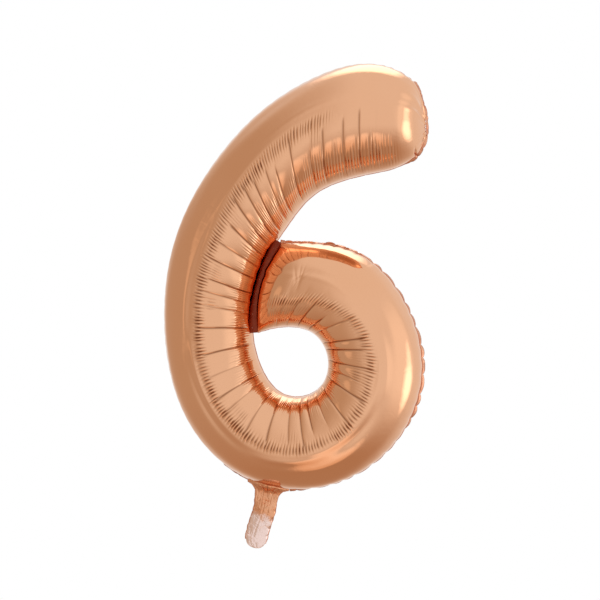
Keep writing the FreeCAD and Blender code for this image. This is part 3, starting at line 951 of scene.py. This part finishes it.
def rose_gold_film():
    """The printed mirror of both panels; the attribute pinch darkens its valleys."""
    finish, tree, shader, tone, _, _ = film_finish(
        "rose_gold_film", (ROSE_THIN, ROSE_THICK), 6.0, (11.0, 0.25), (0.065, 0.15), (70.0, 0.25),
        (0.05, 0.002))
    pinch = add(tree, "ShaderNodeAttribute", attribute_name="pinch")
    # The printed mirror of both panels; where the attribute pinch is high, painted shade darkens its valleys.
    valley_shade_mix = add(tree, "ShaderNodeMix", data_type="RGBA")
    # painted shade: the base colour is mixed towards the dark valley tone by the attribute pinch
    valley_shade_mix.inputs[7].default_value = VALLEY_SHADE_TONE
    tree.links.new(pinch.outputs["Fac"], valley_shade_mix.inputs[0])
    tree.links.new(tone.outputs["Color"], valley_shade_mix.inputs[6])
    tree.links.new(valley_shade_mix.outputs[2], shader.inputs["Base Color"])
    shader.inputs["Metallic"].default_value = 1.0
    return finish


ROSE_GOLD = rose_gold_film()
for film in (film_front, film_back):
    film.data.materials.append(ROSE_GOLD)

# %% [markdown]
# ## Sealed border finish
# Heat and pressure print the seal bar's fine ribs into the border and dull it, and its tone goes from pale to
# dark red in small clouds.

# %% Sealed border material
SEAL_PALE = (0.86, 0.50, 0.32, 1)
SEAL_DARK = (0.42, 0.09, 0.045, 1)
# near-black reds of the painted shade in the crease between the bowl's end and the stem
CREASE_SHADE_PALE = (0.30, 0.060, 0.030, 1)
CREASE_SHADE_DARK = (0.16, 0.025, 0.015, 1)
SEAL_RIB = 3000.0           # ribs of the seal bar, radians per metre


def sealed_film(name, tones, cloud_size, roughness, rib_height):
    """Dulled and ribbed film of a heat seal."""
    finish, tree, shader, _, _, crinkle = film_finish(
        name, tones, cloud_size, (40.0, 0.4), roughness, (160.0, 0.4), (0.35, 0.0006))
    along = add(tree, "ShaderNodeAttribute", attribute_name="along")
    ribs = math_node(tree, "SINE", math_node(tree, "MULTIPLY", along.outputs["Fac"], SEAL_RIB))
    height = math_node(tree, "ADD", math_node(tree, "MULTIPLY", ribs, rib_height), crinkle.outputs["Height"])
    tree.links.new(height, tree.nodes["Bump"].inputs["Height"])
    shader.inputs["Metallic"].default_value = 1.0
    return finish


SEALED = sealed_film("sealed_film", (SEAL_PALE, SEAL_DARK), 55.0, (0.22, 0.36), 0.35)
for border in [stem_border, bowl_border, counter_border] + neck_borders:
    border.data.materials.append(SEALED)

# painted shade: where the bowl's end is pressed against the stem, the CAD crease seam gets a near-black red
# film for the dark between two mirrors
CREASE_SHADE_FILM = sealed_film("painted_crease_shade", (CREASE_SHADE_PALE, CREASE_SHADE_DARK), 70.0, (0.30, 0.45), 0.0)
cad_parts["crease_seam"].data.materials.clear()
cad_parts["crease_seam"].data.materials.append(CREASE_SHADE_FILM)

# %% [markdown]
# ## Neck finish
# The neck is the same film, but handled: copper at the top, and towards the end it turns a pale pink that is
# less of a mirror; the pale pink is a painted reflection of the white room. The attribute along carries the
# distance down the neck.

# %% Neck material
NECK_THICK = (0.72, 0.27, 0.12, 1)
PAINTED_PALE_REFLECTION = (0.93, 0.72, 0.66, 1)
PALE_REFLECTION_RAMP = (0.050, 0.066)  # distance down the neck over which the painted pale reflection takes over from the copper


def neck_film():
    """Copper film that turns pale down the neck: a painted reflection of the white room."""
    finish, tree, shader, tone, dull, _ = film_finish(
        "neck_film", (ROSE_THIN, NECK_THICK), 60.0, (60.0, 0.4), (0.14, 0.28), (190.0, 0.6), (0.35, 0.0015))
    along = add(tree, "ShaderNodeAttribute", attribute_name="along")
    cloud = math_node(tree, "MULTIPLY", math_node(tree, "SUBTRACT", tone.outputs["Thickness"], 0.5), 0.05)
    fade = add(tree, "ShaderNodeMapRange", {"From Min": PALE_REFLECTION_RAMP[0], "From Max": PALE_REFLECTION_RAMP[1]},
               interpolation_type="SMOOTHSTEP")
    tree.links.new(math_node(tree, "ADD", along.outputs["Fac"], cloud), fade.inputs["Value"])
    # painted reflection: the base colour turns pale pink down the neck
    mix = add(tree, "ShaderNodeMix", data_type="RGBA")
    mix.inputs[7].default_value = PAINTED_PALE_REFLECTION
    tree.links.new(fade.outputs[0], mix.inputs[0])
    tree.links.new(tone.outputs["Color"], mix.inputs[6])
    tree.links.new(mix.outputs[2], shader.inputs["Base Color"])
    roughness = math_node(tree, "ADD", span(tree, dull.outputs["Dull"], 0.14, 0.28),
                          math_node(tree, "MULTIPLY", fade.outputs[0], 0.08))
    tree.links.new(roughness, shader.inputs["Roughness"])
    shader.inputs["Metallic"].default_value = 1.0
    return finish


NECK_FILM = neck_film()
for ply in neck_films:
    ply.data.materials.append(NECK_FILM)

# %% [markdown]
# ## The valve
# Inside the neck two plies of clear polyethylene lie on each other, and stick together after filling. They
# keep their CAD shape, because they are flat strips that nobody sees, and get a hazy clear finish. A patch of
# ink between them keeps the passage open while the balloon is made.

# %% Valve film and release ink materials
VALVE_PALE = (0.93, 0.95, 0.96, 1)
VALVE_GREY = (0.84, 0.88, 0.90, 1)
INK_PALE = (0.34, 0.36, 0.38, 1)
INK_DARK = (0.16, 0.17, 0.19, 1)


def clear_valve_film():
    """Hazy clear polyethylene."""
    finish, tree, shader, _, haze, _ = film_finish(
        "clear_polyethylene", (VALVE_PALE, VALVE_GREY), 30.0, (25.0, 0.2), (0.18, 0.42), (120.0, 0.5),
        (0.3, 0.0008))
    tree.links.new(span(tree, haze.outputs["Dull"], 0.30, 0.48), shader.inputs["Alpha"])
    shader.inputs["IOR"].default_value = 1.51
    return finish


def release_print():
    """Dark matt ink, uneven in thickness."""
    finish, tree, shader, tone, _, _ = film_finish(
        "release_print", (INK_PALE, INK_DARK), 220.0, (60.0, 0.0), (0.55, 0.8), (160.0, 0.0), (0.3, 0.0003))
    tree.links.new(span(tree, tone.outputs["Thickness"], 0.55, 0.8), shader.inputs["Roughness"])
    tree.links.new(tone.outputs["Thickness"], tree.nodes["Bump"].inputs["Height"])
    return finish


VALVE_CLEAR, RELEASE_INK = clear_valve_film(), release_print()
for name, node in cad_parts.items():
    if name.startswith("valve_") or name == "release_ink":
        node.data.materials.clear()
        node.data.materials.append(RELEASE_INK if name == "release_ink" else VALVE_CLEAR)
print("materials:", [m.name for m in bpy.data.materials])

# %% [markdown]
# ## Studio
# A mirror shows its surroundings, so the room matters more than the lamps. The room is drawn in the world
# shader as a pale shell that is darker and warmer to the left and below, with soft strips of light to the
# right, overhead and low in front, which give the long highlights. The camera itself sees plain white behind
# the balloon. A round pale floor lies some way below, because a balloon full of helium floats.

# %% Pale floor
low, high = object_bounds()
FLOOR_BELOW = 0.30
FLOOR_RADIUS = 1.15


def pale_floor():
    """A round floor that mirrors don't show."""
    bm = bmesh.new()
    bmesh.ops.create_circle(bm, cap_ends=True, segments=96, radius=FLOOR_RADIUS)
    bmesh.ops.translate(bm, verts=bm.verts, vec=(0, 0, low[2] - FLOOR_BELOW))
    mesh = bpy.data.meshes.new("pale_floor")
    bm.to_mesh(mesh)
    bm.free()
    floor = bpy.data.objects.new("pale_floor", mesh)
    bpy.context.scene.collection.objects.link(floor)
    paper = bpy.data.materials.new("pale_paper")
    paper.use_nodes = True
    shader = paper.node_tree.nodes["Principled BSDF"]
    shader.inputs["Base Color"].default_value = (0.90, 0.89, 0.88, 1)
    shader.inputs["Roughness"].default_value = 0.85
    mesh.materials.append(paper)
    floor.visible_glossy = False


pale_floor()

# %% Room light
scene = bpy.context.scene
scene.view_settings.view_transform = "Standard"
CAMERA_TURN = math.radians(10)
PALE = 0.90                 # brightness of the room's shell
LEFT_SHADE = (0.58, 0.48, 0.39, 1)
FLOOR_SHADE = (0.50, 0.35, 0.25, 1)
LEFT = (-math.cos(CAMERA_TURN), -math.sin(CAMERA_TURN), 0)
# Each light is a direction, the cosine where it starts, the cosine where it is full, and its gain.
LIGHTS = {
    "right": ((0.99, 0.05, 0.03), 0.95, 0.997, 0.9),
    "low right": ((0.97, 0.05, -0.22), 0.93, 0.997, 1.5),
    "overhead": ((-0.05, 0.60, 0.80), 0.90, 0.985, 1.6),
    "low front": ((0.11, -0.64, -0.76), 0.93, 0.985, 0.7),
    "right wall": ((0.985, -0.17, 0), 0.74, 0.96, 0.20),
    "left slit": ((-0.82, -0.57, 0.05), 0.975, 0.998, 0.35),
}


def toward(tree, direction, target, start, full):
    """0 to 1 as a direction turns towards the target."""
    dot = add(tree, "ShaderNodeVectorMath", operation="DOT_PRODUCT")
    dot.inputs[1].default_value = target
    tree.links.new(direction, dot.inputs[0])
    step = add(tree, "ShaderNodeMapRange", {"From Min": start, "From Max": full},
               interpolation_type="SMOOTHSTEP")
    tree.links.new(dot.outputs["Value"], step.inputs["Value"])
    return step.outputs[0]


def draw_room():
    """The room that the mirror shows, drawn in the world shader."""
    room = bpy.data.worlds.new("room")
    scene.world = room
    room.use_nodes = True
    tree = room.node_tree
    direction = tree.nodes.new("ShaderNodeTexCoord").outputs["Generated"]
    left = toward(tree, direction, LEFT, 0.10, 0.85)
    below = toward(tree, direction, (0, 0, -1), 0.22, 0.95)
    colour = (PALE, PALE * 0.99, PALE * 0.98, 1)
    for amount, shade in ((left, LEFT_SHADE), (below, FLOOR_SHADE)):
        mix = add(tree, "ShaderNodeMix", data_type="RGBA")
        if isinstance(colour, tuple):
            mix.inputs[6].default_value = colour
        else:
            tree.links.new(colour, mix.inputs[6])
        mix.inputs[7].default_value = shade
        tree.links.new(amount, mix.inputs[0])
        colour = mix.outputs[2]
    gain = 0.0
    for target, start, full, strength in LIGHTS.values():
        light = math_node(tree, "MULTIPLY", toward(tree, direction, target, start, full), strength)
        gain = math_node(tree, "MAXIMUM", light, gain)
    gain = math_node(tree, "ADD", gain, 1.0)
    lit = tree.nodes["Background"]
    tree.links.new(colour, lit.inputs["Color"])
    tree.links.new(gain, lit.inputs["Strength"])
    white = add(tree, "ShaderNodeBackground", {"Color": (1, 1, 1, 1), "Strength": 1.0})
    seen = tree.nodes.new("ShaderNodeMixShader")
    tree.links.new(tree.nodes.new("ShaderNodeLightPath").outputs["Is Camera Ray"], seen.inputs[0])
    tree.links.new(lit.outputs[0], seen.inputs[1])
    tree.links.new(white.outputs[0], seen.inputs[2])
    tree.links.new(seen.outputs[0], tree.nodes["World Output"].inputs["Surface"])


draw_room()

# %% Lamp over the floor
MIDDLE = Vector((0.058, 0, 0.338))
LAMP_PLACE = Vector((0.9, -1.4, 2.6))
LAMP_SIZE = 1.4
LAMP_WATTS = 30


def overhead_lamp():
    """Lights the floor and the matt pieces; mirrors don't show it."""
    lamp = bpy.data.lights.new("overhead", "AREA")
    lamp.size = LAMP_SIZE
    lamp.energy = LAMP_WATTS
    box = bpy.data.objects.new("overhead", lamp)
    box.location = LAMP_PLACE
    box.rotation_euler = (MIDDLE - LAMP_PLACE).to_track_quat("-Z", "Y").to_euler()
    box.visible_glossy = False
    scene.collection.objects.link(box)


overhead_lamp()

# %% Camera
CAMERA_DISTANCE = 4.0
VIEW_WIDTH = 1.089          # width of the view at the balloon
SENSOR_WIDTH = 36           # in millimetres, as the lens
camera = bpy.data.objects.new("camera", bpy.data.cameras.new("camera"))
camera.data.sensor_width = SENSOR_WIDTH
camera.data.lens = SENSOR_WIDTH * CAMERA_DISTANCE / VIEW_WIDTH
camera.location = MIDDLE + CAMERA_DISTANCE * Vector((math.sin(CAMERA_TURN), -math.cos(CAMERA_TURN), 0))
camera.rotation_euler = (MIDDLE - camera.location).to_track_quat("-Z", "Y").to_euler()
scene.collection.objects.link(camera)
scene.camera = camera
